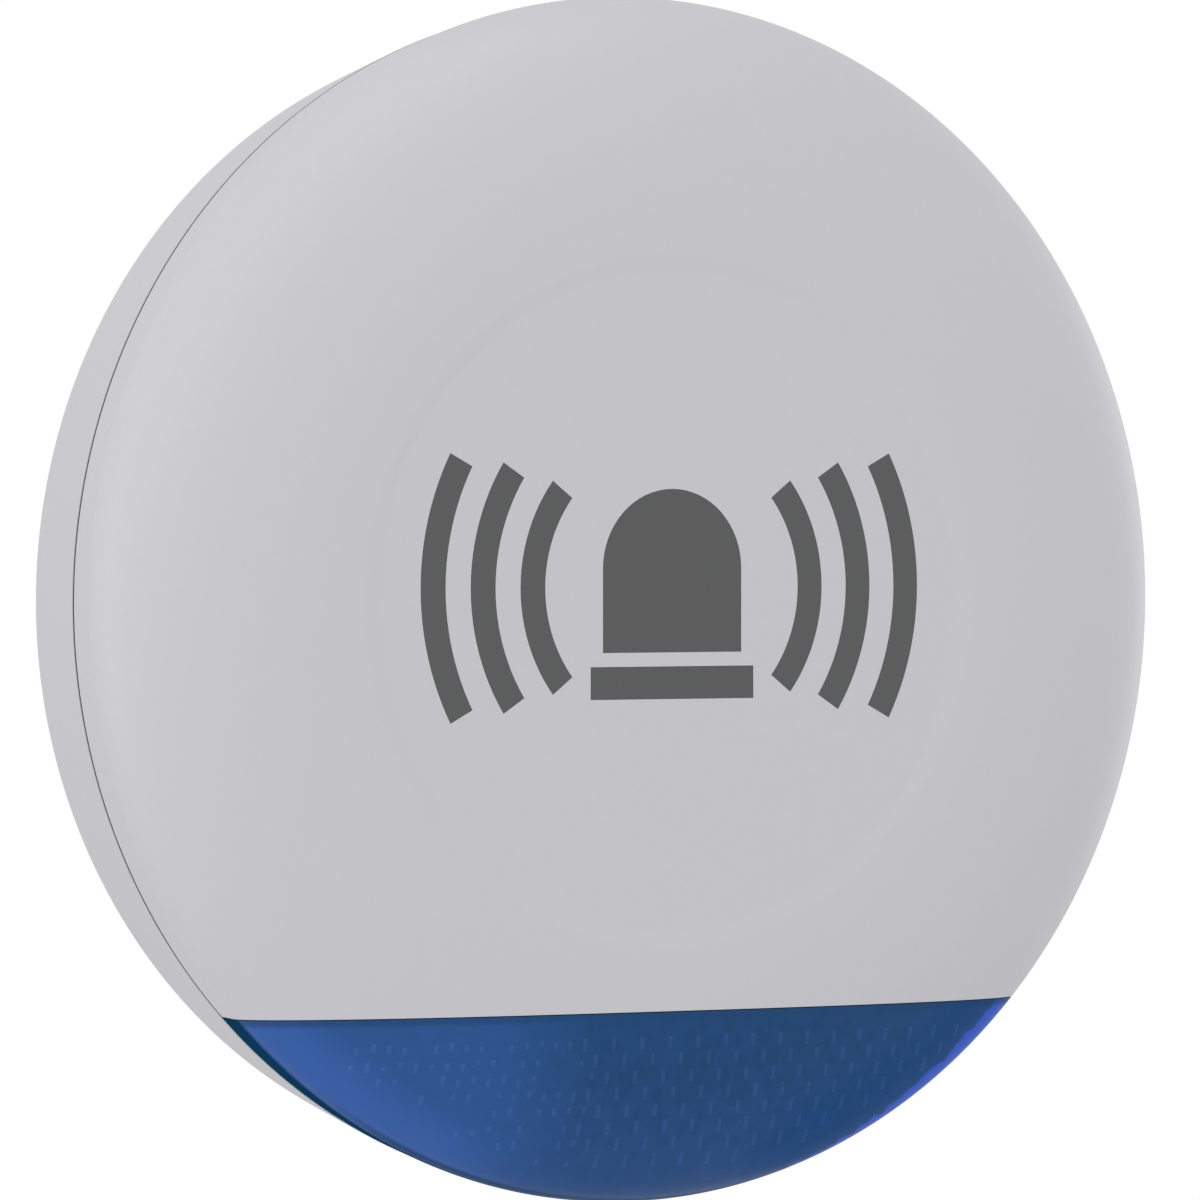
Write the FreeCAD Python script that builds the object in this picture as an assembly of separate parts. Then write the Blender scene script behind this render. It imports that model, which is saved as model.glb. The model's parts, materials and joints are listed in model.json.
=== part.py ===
import FreeCAD, Part
import math
import os

# Round wall-mounted alarm siren with a strobe lens along the bottom of its cover.
# Frame: +X right seen from the front, +Y into the wall, +Z up. The wall is y = 0.
# "Depth" below means distance from the wall, so depth d is y = -d. All sizes in mm.

V = FreeCAD.Vector

# Outline of the closed siren
SHOULDER_R = 130.0
SHOULDER_D = 38.3
BACK_R = 123.7
SEAM_R = 128.6
SEAM_D = 28.2
SEAM_GAP = 0.3
FRONT_D = 57.3
RING_R = 76.0
DISH_R = 74.6
DISH_EDGE = 2.0
DISH_DEPTH = 0.2
WALL = 2.6
BACK_WALL = 3.0

# Lens along the bottom
CHORD_Z = -87.9
LENS_GAP = 0.2
LENS_REAR_D = 32.0
LENS_WALL = 3.0
WEB = 2.4
WEB_REAR_D = 36.0
SKIRT_R = 127.0
LENS_SCREW_X = (-45.0, 0.0, 45.0)
LENS_SCREW_D = 44.0

# Hinge at the top
HINGE_Z = 124.9
HINGE_D = 28.35
PIN_R = 1.25
RUN_CLEARANCE = 0.06
KNUCKLE_R = 2.9
COVER_KNUCKLE_HALF = 6.0
KNUCKLE_IN = 6.4
KNUCKLE_OUT = 13.0
NOTCH_HALF = 32.0
NOTCH_FLOOR_D = 23.9

# Fastening of the cover at the bottom
LATCH_D = 18.0
LATCH_R = 2.0
TONGUE_HALF = 7.0
TONGUE_TOP = -118.6
TONGUE_BOTTOM = -121.6

# Wall fixings and cable entry
WALL_HOLE_X = 88.0
WALL_HOLE_Z = 55.0
WALL_HOLE_R = 2.75
CABLE_Z = -10.0
CABLE_R = 8.0

# Batteries: four D cells
CELL_R = 17.1
CELL_LEN = 61.5
CELL_D = 22.0
CELL_ROWS = (37.5, 72.5)

# Horn
HORN_X = -44.0
HORN_Z = -30.0
HORN_R = 32.0
HORN_EARS = (90.0, 200.0, 340.0)
HORN_EAR_R = 36.0

# Main board
BOARD = (10.0, 76.0, -74.0, 6.0)
BOARD_D = 12.0
BOARD_T = 1.6
BOARD_TOP = BOARD_D + BOARD_T
BOARD_HOLES = ((15.0, 1.0), (71.0, 1.0), (15.0, -69.0), (71.0, -69.0))

# Strobe
LED_BOARD_D = 30.0
LED_Z = -100.0
LED_X = tuple(-41.8 + 7.6 * i for i in range(12))
LED_POST_X = 50.0
LED_POST_Z = -98.0

# Tamper plungers, button and switch
FRONT_TAMPER = (24.0, -63.0)
REAR_TAMPER = (91.0, 0.0)
BUTTON = (66.0, -20.0)
SWITCH = (66.0, -36.0)


def box(x0, x1, d0, d1, z0, z1):
    """A block given by its spans in x, depth and z."""
    return Part.makeBox(x1 - x0, d1 - d0, z1 - z0, V(x0, -d1, z0))


def rod_d(x, z, r, d0, d1):
    """A cylinder that runs out from the wall."""
    return Part.makeCylinder(r, d1 - d0, V(x, -d0, z), V(0, -1, 0))


def rod_x(x0, x1, r, d, z):
    """A cylinder along x."""
    return Part.makeCylinder(r, x1 - x0, V(x0, -d, z), V(1, 0, 0))


def rod_z(x, d, r, z0, z1):
    """A cylinder along z."""
    return Part.makeCylinder(r, z1 - z0, V(x, -d, z0), V(0, 0, 1))


def spun(edges):
    """A solid turned about the y axis from edges that close on themselves."""
    return Part.Face(Part.Wire(edges)).revolve(V(0, 0, 0), V(0, 1, 0), 360)


def polyline(points):
    """Edges through (radius, depth) points."""
    spots = [V(r, -d, 0) for r, d in points]
    return [Part.makeLine(a, b) for a, b in zip(spots, spots[1:])]


def turned(points):
    """A solid turned about the y axis from (radius, depth) points."""
    return spun(polyline(list(points) + [points[0]]))


def ring(r0, r1, d0, d1):
    """A flat-ended ring about the y axis."""
    return turned([(r0, d0), (r1, d0), (r1, d1), (r0, d1)])


def cut(shape, tools):
    """The shape with every tool removed."""
    for tool in tools:
        shape = shape.cut(tool)
    return shape


def joined(shapes):
    """One clean solid from shapes that overlap."""
    total = shapes[0]
    for shape in shapes[1:]:
        total = total.fuse(shape)
    return total.removeSplitter()


def group(shapes):
    """Separate solids kept in one node."""
    return Part.makeCompound(shapes)


def wire_lead(points, r):
    """A round lead through (x, depth, z) points, with rounded corners."""
    spots = [V(x, -d, z) for x, d, z in points]
    pieces = []
    for a, b in zip(spots, spots[1:]):
        pieces.append(Part.makeCylinder(r, (b - a).Length, a, b - a))
    for spot in spots[1:-1]:
        pieces.append(Part.makeSphere(r, spot))
    return joined(pieces)


def coil(r, wire_r, pitch, height, tail, start, direction):
    """A round-wire coil with a straight tail, which climbs along a direction."""
    helix = Part.makeHelix(pitch, height, r)
    section = Part.Wire([Part.makeCircle(wire_r, V(r, 0, 0), V(0, 1, 0))])
    tube = Part.Wire(helix).makePipeShell([section], True, True)
    end = Part.makeCylinder(wire_r, tail + 0.3, V(r, 0, 0.3), V(0, 0, -1))
    spring = joined([tube, end])
    spring.Placement = FreeCAD.Placement(start, FreeCAD.Rotation(V(0, 0, 1), direction))
    return spring


def housing_outline(inset, d0, d1):
    """Points of the tapered rear wall, moved in by inset, between two depths."""
    slope = (SEAM_R - BACK_R) / SEAM_D
    return (BACK_R - inset + slope * d0, d0), (BACK_R - inset + slope * d1, d1)


def cover_volume(inset, rear_d):
    """The space inside the front cover's face moved in by inset."""
    centre = V(RING_R, -SHOULDER_D, 0)
    reach = SHOULDER_R - RING_R - inset
    rise = FRONT_D - SHOULDER_D - inset
    roll = Part.ArcOfEllipse(Part.Ellipse(centre, reach, rise), -math.pi / 2, 0).toShape()
    front = FRONT_D - inset
    floor = front - DISH_DEPTH
    side = polyline([(0, rear_d), (SEAM_R - inset, rear_d), (SHOULDER_R - inset, SHOULDER_D)])
    face = polyline([(RING_R, front), (DISH_R, front), (DISH_R - DISH_EDGE, floor),
                     (0, floor), (0, rear_d)])
    return spun(side + [roll] + face)


def sound_slots():
    """Slots through the bottom of the housing on both sides of the cover screw."""
    slots = []
    for side in (-1, 1):
        for i in range(5):
            x = side * (14.0 + 7.0 * i)
            slots.append(box(x - 1.6, x + 1.6, 6.0, 17.0, -135.0, -105.0))
    return slots


def rear_housing():
    """Tapered dish with rim ledge, hinge knuckles, bosses and sound slots."""
    (back_r, _), (rim_r, _) = housing_outline(0, 0, SEAM_D)
    (in_r0, _), (in_r1, _) = housing_outline(WALL, BACK_WALL, SEAM_D)
    dish = turned([(0, 0), (back_r, 0), (rim_r, SEAM_D), (in_r1, SEAM_D), (in_r0, BACK_WALL),
                   (0, BACK_WALL)])
    ledge = ring(122.5, 126.3, 22.0, SEAM_D).cut(ring(123.3, 125.5, 26.0, SEAM_D + 1))
    ledge = ledge.cut(box(-34, 34, 21.0, SEAM_D + 1, 112, 130))
    notch = box(-NOTCH_HALF, NOTCH_HALF, NOTCH_FLOOR_D, SEAM_D + 1, 116, 131)
    body = joined([dish.cut(notch), ledge])
    adds = []
    for side in (-1, 1):
        x0, x1 = sorted((side * KNUCKLE_IN, side * KNUCKLE_OUT))
        adds.append(rod_x(x0, x1, KNUCKLE_R, HINGE_D, HINGE_Z))
        adds.append(box(x0, x1, 12.0, HINGE_D, HINGE_Z - KNUCKLE_R, HINGE_Z + 0.4))
        for up in (-1, 1):
            adds.append(rod_d(side * WALL_HOLE_X, up * WALL_HOLE_Z, 7.0, 1.0, 6.0))
        adds.append(rod_d(side * LED_POST_X, LED_POST_Z, 4.0, 1.0, LED_BOARD_D))
        adds.append(box(side * 16 - 2, side * 16 + 2, 1.0, 14.0, 99.0, 109.0))
    for x, z in BOARD_HOLES:
        adds.append(rod_d(x, z, 3.5, 1.0, BOARD_D))
    for angle in HORN_EARS:
        x, z = horn_ear(angle)
        adds.append(rod_d(x, z, 3.5, 1.0, 24.0))
    adds.append(box(-7.5, 7.5, 11.0, 25.0, -125.5, -122.3))
    adds.append(box(-5.5, 5.5, 1.0, 23.0, -117.8, -112.8))
    body = joined([body] + adds)
    cuts = sound_slots()
    cuts.append(rod_x(-KNUCKLE_OUT - 1, KNUCKLE_OUT + 1, PIN_R, HINGE_D, HINGE_Z))
    for side in (-1, 1):
        for up in (-1, 1):
            cuts.append(rod_d(side * WALL_HOLE_X, up * WALL_HOLE_Z, WALL_HOLE_R, -1, 7))
        cuts.append(rod_d(side * LED_POST_X, LED_POST_Z, 1.2, 20.0, LED_BOARD_D + 1))
    for x, z in BOARD_HOLES:
        cuts.append(rod_d(x, z, 1.3, 5.0, BOARD_D + 1))
    for angle in HORN_EARS:
        x, z = horn_ear(angle)
        cuts.append(rod_d(x, z, 1.3, 14.0, 25.0))
    cuts.append(rod_x(-19, 19, 4.0, 10.0, 104.0))
    cuts.append(box(-19, 19, 10.0, 15.0, 101.0, 107.0))
    cuts.append(rod_d(0, CABLE_Z, CABLE_R, -1, BACK_WALL + 1))
    cuts.append(rod_d(*REAR_TAMPER, 2.9, -1, BACK_WALL + 1))
    cuts.append(rod_z(0, LATCH_D, LATCH_R + RUN_CLEARANCE, -130, -121))
    cuts.append(rod_z(0, LATCH_D, 4.2, -131, -124.4))
    cuts.append(rod_z(0, LATCH_D, 3.2, -118, -112))
    return cut(body, cuts)


def cable_grommet():
    """Stepped rubber plug with a closed membrane."""
    plug = joined([rod_d(0, CABLE_Z, CABLE_R, 0.2, 3.0), rod_d(0, CABLE_Z, 10.5, 3.0, 4.6)])
    return plug.cut(rod_d(0, CABLE_Z, 5.5, 1.2, 5.0))


def perimeter_gasket():
    """Rubber ring in the rim groove, open at the hinge."""
    seal = ring(123.35, 125.45, 26.0, 28.1)
    return seal.cut(box(-34.5, 34.5, 20, 30, 100, 130))


def level_vial():
    """Spirit level in its two clips."""
    tube = rod_x(-19, 19, 3.95, 10.0, 104.0)
    return tube.cut(rod_x(-17, 17, 3.0, 10.0, 104.0))


def front_cover():
    """Shallow round shell with the lens opening, hinge knuckle and tongue."""
    rear = SEAM_D + SEAM_GAP
    shell = cover_volume(0, rear).cut(cover_volume(WALL, rear - 1))
    shell = shell.cut(box(-140, 140, LENS_REAR_D, 70, -140, CHORD_Z))
    skirt_room = ring(SKIRT_R - 0.3, 140, rear - 1, LENS_REAR_D + 1)
    shell = shell.cut(skirt_room.common(box(-140, 140, 20, 40, -140, CHORD_Z)))
    flange = ring(122.9, 126.4, rear, 30.5).cut(box(-34, 34, 20, 35, 112, 130))
    web = cover_volume(WALL - 0.3, rear).common(
        box(-130, 130, WEB_REAR_D, 60, CHORD_Z, CHORD_Z + WEB))
    hub = cover_volume(1.0, rear)
    ribs = []
    for r in (40.0, 70.0):
        ribs.append(ring(r, r + 1.4, 51.0, 60).common(hub))
    for i in range(6):
        spoke = box(40, 96, 51.0, 60, -0.7, 0.7)
        spoke.rotate(V(0, 0, 0), V(0, 1, 0), 30 + 60 * i)
        ribs.append(spoke.common(hub).common(box(-130, 130, 0, 70, CHORD_Z, 130)))
    x, z = FRONT_TAMPER
    post = rod_d(x, z, 3.0, 30.2, 55.5)
    tongue = joined([box(-TONGUE_HALF, TONGUE_HALF, 14.0, 31.5, TONGUE_BOTTOM, TONGUE_TOP),
                     box(-TONGUE_HALF, TONGUE_HALF, rear, 31.5, -126.5, TONGUE_TOP)])
    tongue = tongue.cut(box(-2.5, 2.5, 13.0, 21.5, -123, -117))
    knuckle = rod_x(-COVER_KNUCKLE_HALF, COVER_KNUCKLE_HALF, KNUCKLE_R, HINGE_D, HINGE_Z)
    gusset = box(-COVER_KNUCKLE_HALF, COVER_KNUCKLE_HALF, HINGE_D, 36.0, HINGE_Z - KNUCKLE_R,
                 HINGE_Z + 1.8)
    body = joined([shell, flange, web, post, tongue, knuckle, gusset] + ribs)
    cuts = [rod_x(-15, 15, PIN_R + RUN_CLEARANCE, HINGE_D, HINGE_Z)]
    for side in (-1, 1):
        x0, x1 = sorted((side * (KNUCKLE_IN - 0.35), side * (KNUCKLE_OUT + 0.4)))
        cuts.append(rod_x(x0, x1, KNUCKLE_R + 0.4, HINGE_D, HINGE_Z))
    for x in LENS_SCREW_X:
        cuts.append(rod_z(x, LENS_SCREW_D, 1.7, CHORD_Z - 1, CHORD_Z + WEB + 1))
    cuts += emblem_pieces(56.8, 58.0)
    return cut(body, cuts)


def strobe_lens():
    """Clear bottom segment of the cover with its skirt, fixing web and bosses."""
    rear = SEAM_D + SEAM_GAP
    shell = cover_volume(0, rear).cut(cover_volume(LENS_WALL, rear - 1))
    shell = shell.common(box(-140, 140, rear, 70, -140, CHORD_Z - LENS_GAP))
    shell = shell.cut(rod_d(0, 0, SKIRT_R, rear - 1, LENS_REAR_D + LENS_GAP))
    top = CHORD_Z - LENS_GAP
    inner = cover_volume(LENS_WALL - 0.3, SEAM_D)
    web = inner.common(box(-130, 130, WEB_REAR_D, 60, top - 2.0, top))
    bosses = [rod_z(x, LENS_SCREW_D, 3.4, -96.5, top) for x in LENS_SCREW_X]
    body = joined([shell, web] + bosses)
    return cut(body, [rod_z(x, LENS_SCREW_D, 1.3, -95.5, top + 1) for x in LENS_SCREW_X])


def lens_screws():
    """Pan-head screws from inside the cover into the lens."""
    screws = []
    for x in LENS_SCREW_X:
        seat = CHORD_Z + WEB
        head = rod_z(x, LENS_SCREW_D, 3.0, seat, seat + 1.9)
        screws.append(joined([head, rod_z(x, LENS_SCREW_D, 1.3, -95.0, seat + 0.1)]))
    return group(screws)


def emblem_pieces(d0, d1):
    """Generic beacon between sound waves, as separate flat pieces."""
    z = 3.0
    dome = joined([rod_d(0, z + 4, 17.0, d0, d1), box(-17, 17, d0, d1, z - 14, z + 4)])
    pieces = [dome, box(-20, 20, d0, d1, z - 24, z - 17)]
    for r, half in ((31.0, 38.0), (43.0, 33.0), (55.0, 28.0)):
        band = rod_d(0, z, r + 6.0, d0, d1).cut(rod_d(0, z, r, d0 - 1, d1 + 1))
        reach = 90.0
        rise = reach * math.tan(math.radians(half))
        for side in (-1, 1):
            corners = [V(0, -d0 + 1, z), V(side * reach, -d0 + 1, z + rise),
                       V(side * reach, -d0 + 1, z - rise), V(0, -d0 + 1, z)]
            wedge = Part.Face(Part.makePolygon(corners)).extrude(V(0, -6, 0))
            pieces.append(band.common(wedge).Solids[0])
    return pieces


def horn_ear(angle):
    """Centre (x, z) of one fixing ear of the horn."""
    a = math.radians(angle)
    return HORN_X + HORN_EAR_R * math.cos(a), HORN_Z + HORN_EAR_R * math.sin(a)


def horn_duct(inset):
    """Flared duct from the horn's chamber down to the sound slots."""
    top = Part.makePolygon([V(x, y, -50) for x, y in (
        (-54 + inset, -5 - inset), (-32 - inset, -5 - inset),
        (-32 - inset, -20 + inset), (-54 + inset, -20 + inset), (-54 + inset, -5 - inset))])
    end = Part.makePolygon([V(x, y, -121) for x, y in (
        (-40 + inset, -5 - inset), (-11 - inset, -5 - inset),
        (-11 - inset, -20 + inset), (-40 + inset, -20 + inset), (-40 + inset, -5 - inset))])
    return Part.makeLoft([top, end], True)


def horn_body():
    """Round sound chamber with its flared duct."""
    outer = joined([rod_d(HORN_X, HORN_Z, HORN_R, 3.4, 24.0), horn_duct(0)])
    inner = joined([rod_d(HORN_X, HORN_Z, HORN_R - 4.4, 5.4, 25.0), horn_duct(1.8)])
    return outer.cut(inner).common(rod_d(0, 0, 121.0, -1, 60))


def horn_cap():
    """Lid that clamps the driver, with three fixing ears."""
    lid = rod_d(HORN_X, HORN_Z, HORN_R, 24.05, 32.0).cut(rod_d(HORN_X, HORN_Z, 27.8, 24.0, 30.0))
    parts = [lid]
    for angle in HORN_EARS:
        x, z = horn_ear(angle)
        parts.append(rod_d(x, z, 4.6, 24.05, 27.0))
    body = joined(parts)
    cuts = []
    for angle in HORN_EARS:
        x, z = horn_ear(angle)
        cuts.append(rod_d(x, z, 1.6, 24.0, 33.0))
        cuts.append(rod_d(x, z, 3.2, 27.0, 33.0))
    cuts.append(box(-31, -15, 27.7, 29.7, -11, -5))
    for i in range(6):
        a = math.radians(60 * i)
        cuts.append(rod_d(HORN_X + 14 * math.cos(a), HORN_Z + 14 * math.sin(a), 1.5, 29.0, 33.0))
    return cut(body, cuts)


def pan_screw(x, z, seat_d, length, r=1.3, head_r=2.7, head_h=1.7):
    """Pan-head screw that goes in towards the wall."""
    head = rod_d(x, z, head_r, seat_d, seat_d + head_h)
    slot = box(x - 0.35, x + 0.35, seat_d + 0.9, seat_d + head_h + 1, z - 1.7, z + 1.7)
    cross = box(x - 1.7, x + 1.7, seat_d + 0.9, seat_d + head_h + 1, z - 0.35, z + 0.35)
    return cut(joined([head, rod_d(x, z, r, seat_d - length, seat_d + 0.1)]), [slot, cross])


def main_board():
    """Circuit board on four posts."""
    x0, x1, z0, z1 = BOARD
    board = box(x0, x1, BOARD_D, BOARD_TOP, z0, z1)
    corner = Part.makeBox(16, 30, 16, V(-8, -30, -8))
    corner.rotate(V(0, 0, 0), V(0, 1, 0), 45)
    corner.translate(V(x1, 0, z0))
    board = board.cut(corner)
    return cut(board, [rod_d(x, z, 1.6, 0, 30) for x, z in BOARD_HOLES])


def radio_module():
    """Small daughter board under a metal shield."""
    return joined([box(17, 43, BOARD_TOP, BOARD_TOP + 1.0, -52, -37),
                   box(20, 42, BOARD_TOP + 0.9, BOARD_TOP + 3.4, -51, -38)])


def antenna():
    """Coiled wire standing on the board edge."""
    start = V(14.0, -(BOARD_TOP + 4.2), -36.0)
    spring = coil(2.4, 0.45, 2.0, 22.0, 1.0, start, V(0, 0, 1))
    foot = Part.makeCylinder(0.45, 4.2, V(16.4, -BOARD_TOP, -36.0), V(0, -1, 0))
    return joined([spring, foot])


def transformer_core():
    """Ferrite drum on the board."""
    x, z = 58.0, -56.0
    return joined([rod_d(x, z, 8.0, BOARD_TOP, BOARD_TOP + 1.8),
                   rod_d(x, z, 3.6, BOARD_TOP + 1, BOARD_TOP + 13),
                   rod_d(x, z, 8.0, BOARD_TOP + 12, BOARD_TOP + 13.8)])


def transformer_coil():
    """Copper winding on the drum."""
    x, z = 58.0, -56.0
    outer = rod_d(x, z, 7.2, BOARD_TOP + 1.85, BOARD_TOP + 11.95)
    return outer.cut(rod_d(x, z, 3.65, BOARD_TOP, BOARD_TOP + 14))


def capacitors():
    """Round capacitors on the board."""
    cans = []
    for x in (28.0, 39.0, 50.0):
        can = rod_d(x, -14.0, 4.0, BOARD_TOP, BOARD_TOP + 12.0)
        groove = ring(3.7, 4.5, 0, 0.8)
        groove.translate(V(x, -(BOARD_TOP + 1.4), -14.0))
        cans.append(can.cut(groove))
    return group(cans)


def terminal_block():
    """Row of screw terminals for the cable."""
    body = box(22, 62, BOARD_TOP, 23.0, -5, 5)
    cuts = []
    for i in range(8):
        x = 24.5 + 5.0 * i
        cuts.append(box(x - 1.6, x + 1.6, BOARD_TOP + 1.5, BOARD_TOP + 5.0, 0.5, 6))
        cuts.append(rod_d(x, -1.5, 1.7, 18.0, 24.0))
    return cut(body, cuts)


def terminal_screws():
    """Slotted screws of the terminal block."""
    screws = []
    for i in range(8):
        x = 24.5 + 5.0 * i
        screw = rod_d(x, -1.5, 1.6, 18.0, 22.2)
        screws.append(screw.cut(box(x - 0.3, x + 0.3, 21.4, 23.0, -4, 1)))
    return group(screws)


def led_board():
    """Long narrow board behind the lens."""
    board = box(-54, 54, LED_BOARD_D, LED_BOARD_D + 1.6, -107, -92.5)
    return cut(board, [rod_d(s * LED_POST_X, LED_POST_Z, 1.6, 20, 40) for s in (-1, 1)])


def strobe_leds():
    """Row of square light-emitting diodes."""
    chips = []
    for x in LED_X:
        base = box(x - 1.75, x + 1.75, LED_BOARD_D + 1.6, LED_BOARD_D + 3.2, LED_Z - 1.75,
                   LED_Z + 1.75)
        dome = rod_d(x, LED_Z, 1.3, LED_BOARD_D + 3.0, LED_BOARD_D + 3.7)
        chips.append(joined([base, dome]))
    return group(chips)


def strobe_reflector():
    """Bright trough with one flared cup per diode."""
    rear = LED_BOARD_D + 1.65
    body = box(-46.6, 46.6, rear, 38.0, -105, -95)
    cups = []
    for x in LED_X:
        cone = Part.makeCone(2.7, 3.8, 38.5 - rear, V(x, -rear, LED_Z), V(0, -1, 0))
        cups.append(cone)
        cups.append(rod_d(x, LED_Z, 2.7, rear - 1, rear + 0.2))
    return cut(body, cups)


def battery_tray():
    """Tray with four half-round cradles."""
    tray = box(-69.5, 69.5, 3.3, 26.0, 18.5, 91.5)
    cuts = []
    for z in CELL_ROWS:
        cuts.append(rod_x(-67.3, 67.3, CELL_R + 0.2, CELL_D, z))
        cuts.append(box(-67.3, 67.3, CELL_D, 27.0, z - CELL_R - 0.2, z + CELL_R + 0.2))
    cuts.append(box(-12, 12, 12.0, 27.0, 15.0, 95.0))
    return cut(tray, cuts)


def battery_cells():
    """Four D cells, two in line per row, the rows turned opposite ways."""
    cells = []
    for z, way in zip(CELL_ROWS, (1, -1)):
        for i in range(2):
            start = -59.0 + CELL_LEN * i
            can = rod_x(start, start + CELL_LEN - 1.6, CELL_R, CELL_D, z)
            nub = rod_x(start + CELL_LEN - 1.7, start + CELL_LEN - 0.02, 4.7, CELL_D, z)
            cell = joined([can, nub])
            if way < 0:
                cell = cell.mirror(V(0, 0, 0), V(1, 0, 0))
            cells.append(cell)
    return group(cells)


def battery_springs():
    """Coil spring behind each row's negative end."""
    springs = []
    for z, way in zip(CELL_ROWS, (1, -1)):
        start = V(way * -66.55, -CELL_D, z)
        springs.append(coil(5.0, 0.5, 1.75, 7.0, 0.5, start, V(way, 0, 0)))
    return group(springs)


def battery_contacts():
    """Flat contacts at the positive and spring ends of the tray."""
    plates = []
    for z in CELL_ROWS:
        for side in (-1, 1):
            x0, x1 = sorted((side * 67.1, side * 67.28))
            plates.append(box(x0, x1, CELL_D - 7, CELL_D + 7, z - 7, z + 7))
    return group(plates)


def front_tamper_body():
    """Switch body under the front plunger."""
    x, z = FRONT_TAMPER
    body = box(x - 5, x + 5, BOARD_TOP, 22.0, z - 4.5, z + 4.5)
    return body.cut(rod_d(x, z, 2.0 + RUN_CLEARANCE, 15.0, 23.0))


def front_tamper_plunger():
    """Plunger the closed cover bears on."""
    x, z = FRONT_TAMPER
    return joined([rod_d(x, z, 2.0, 17.2, 29.9)])


def rear_tamper_body():
    """Switch body over the hole in the back wall."""
    x, z = REAR_TAMPER
    body = box(x - 6, x + 6, BACK_WALL, 14.0, z - 6, z + 6)
    return body.cut(rod_d(x, z, 2.5 + RUN_CLEARANCE, 2.0, 11.5))


def rear_tamper_plunger():
    """Plunger that bears on the wall."""
    x, z = REAR_TAMPER
    return rod_d(x, z, 2.5, 0.05, 9.6)


def button_body():
    """Body of the learn button."""
    x, z = BUTTON
    body = box(x - 3, x + 3, BOARD_TOP, BOARD_TOP + 3.5, z - 3, z + 3)
    return body.cut(rod_d(x, z, 1.7 + RUN_CLEARANCE, BOARD_TOP + 1.2, BOARD_TOP + 4))


def button_cap():
    """Cap of the learn button."""
    x, z = BUTTON
    return rod_d(x, z, 1.7, BOARD_TOP + 1.8, BOARD_TOP + 5.0)


def power_switch_body():
    """Body of the slide switch with its slot."""
    x, z = SWITCH
    body = box(x - 3.2, x + 3.2, BOARD_TOP, BOARD_TOP + 5.0, z - 7, z + 7)
    return body.cut(box(x - 1.5, x + 1.5, BOARD_TOP + 2.0, BOARD_TOP + 6, z - 4.6, z + 4.6))


def power_switch_knob():
    """Knob of the slide switch, at its lower end."""
    x, z = SWITCH
    foot = box(x - 1.2, x + 1.2, BOARD_TOP + 2.3, BOARD_TOP + 8.0, z - 4.2, z - 0.2)
    return foot


def cover_screw():
    """Slotted screw that clamps the cover's tongue."""
    body = joined([rod_z(0, LATCH_D, 3.8, -127.2, -124.5),
                   rod_z(0, LATCH_D, LATCH_R, -124.6, -113.6)])
    return body.cut(box(-0.5, 0.5, 10, 26, -128, -126.2))


def cover_screw_insert():
    """Brass thread the cover screw turns in."""
    return rod_z(0, LATCH_D, 3.2, -117.8, -112.8).cut(
        rod_z(0, LATCH_D, LATCH_R + RUN_CLEARANCE, -119, -112))


def horn_leads():
    """Two leads from the horn lid to the board."""
    leads = []
    for dz in (-1.5, 1.5):
        leads.append(wire_lead([(-29, 28.7, -8 + dz), (-14, 28.7, -8 + dz), (0, 24, -8 + dz),
                                (12.2, 18, -8 + dz), (12.2, BOARD_TOP, -8 + dz)], 0.7))
    return group(leads)


def strobe_wires():
    """Two leads from the strobe board to the main board."""
    leads = []
    for dx in (-1.5, 1.5):
        leads.append(wire_lead([(40 + dx, LED_BOARD_D, -95), (40 + dx, 26, -95), (40 + dx, 21, -88),
                                (40 + dx, 19, -71), (40 + dx, BOARD_TOP, -71)], 0.7))
    return group(leads)


def battery_lead(x):
    """One lead from the battery tray to the terminals."""
    return wire_lead([(x, 15.5, 18.5), (x, 15.5, 13), (x, 17.0, 8), (x, 17.0, 1.0)], 0.9)


def board_screws():
    """Screws of the main board."""
    return group([pan_screw(x, z, BOARD_TOP, 7.0) for x, z in BOARD_HOLES])


def led_board_screws():
    """Screws of the strobe board."""
    seat = LED_BOARD_D + 1.6
    return group([pan_screw(s * LED_POST_X, LED_POST_Z, seat, 8.0, 1.2) for s in (-1, 1)])


def horn_screws():
    """Screws through the horn lid's ears."""
    return group([pan_screw(*horn_ear(angle), 27.0, 11.0) for angle in HORN_EARS])


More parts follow.
